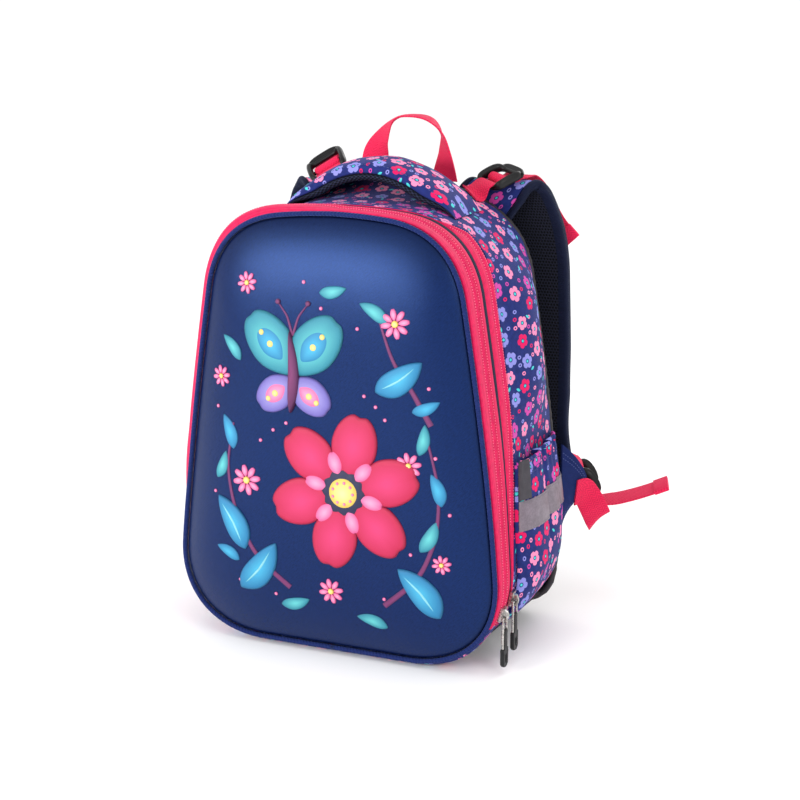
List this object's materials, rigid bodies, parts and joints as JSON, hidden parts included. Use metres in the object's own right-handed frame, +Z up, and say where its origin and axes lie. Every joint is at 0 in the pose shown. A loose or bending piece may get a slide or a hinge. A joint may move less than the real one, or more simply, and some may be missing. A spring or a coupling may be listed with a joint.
{
  "type": "school backpack",
  "caption": "Child's ergonomic school backpack with a domed hard front, wrap-round zips, side pockets, padded grip, padded shoulder straps and adjusting webbing.",
  "frame": {"origin": "middle of the base panel's underside, on the floor", "axes": "+X to the right seen from the front, +Y from the front panel to the back, +Z up"},
  "size_m": [0.3983, 0.2682, 0.4426],
  "materials": {
    "panel": "moulded foam board under a fine woven face, satin, with a raised coloured design",
    "piping": "navy cloth over cord",
    "zip_tape": "pink coil zip tape",
    "floral_cloth": "navy polyester with a small floral print",
    "base_cloth": "dark grey coated polyester",
    "mesh": "black air mesh over foam",
    "binding": "dark binding tape",
    "webbing": "pink ribbed webbing",
    "tab": "navy cloth tab",
    "buckle": "black moulded plastic",
    "reflective": "grey reflective tape",
    "label": "plain grey woven label",
    "slider_metal": "nickel-plated",
    "pull_rubber": "black soft rubber"
  },
  "bodies": {
    "pack": {"front_panel": "panel", "front_piping": "piping", "zip_front": "zip_tape", "gusset_low": "floral_cloth", "zip_main": "zip_tape", "body_wall": "floral_cloth", "base_panel": "base_cloth", "back_panel": "mesh", "grip_handle": "floral_cloth", "grip_lining": "mesh", "hang_loop": "webbing", "shoulder_strap_right": "floral_cloth", "strap_lining_right": "mesh", "strap_binding_right": "binding", "lifter_anchor_right": "webbing", "lifter_buckle_right": "buckle", "lifter_webbing_right": "webbing", "strap_loop_right": "webbing", "lower_buckle_right": "buckle", "lower_webbing_right": "webbing", "anchor_tab_right": "tab", "side_pocket_right": "floral_cloth", "pocket_band_right": "reflective", "shoulder_strap_left": "floral_cloth", "strap_lining_left": "mesh", "strap_binding_left": "binding", "lifter_anchor_left": "webbing", "lifter_buckle_left": "buckle", "lifter_webbing_left": "webbing", "strap_loop_left": "webbing", "lower_buckle_left": "buckle", "lower_webbing_left": "webbing", "anchor_tab_left": "tab", "side_pocket_left": "floral_cloth", "pocket_band_left": "reflective", "pocket_label": "label", "slider_front": "slider_metal", "slider_main": "slider_metal"},
    "pull_front": {"pull_frame_front": "slider_metal", "pull_grip_front": "pull_rubber"},
    "pull_main": {"pull_frame_main": "slider_metal", "pull_grip_main": "pull_rubber"}
  },
  "joints": [
    {"name": "pull_front_hinge", "type": "hinge", "parent": "pack", "child": "pull_front", "pos_m": [0.14557, -0.064, 0.04901], "axis": [0, -1, 0], "range_deg": [0, 150]},
    {"name": "pull_main_hinge", "type": "hinge", "parent": "pack", "child": "pull_main", "pos_m": [0.1478, -0.046, 0.05751], "axis": [0, -1, 0], "range_deg": [0, 150]}
  ]
}
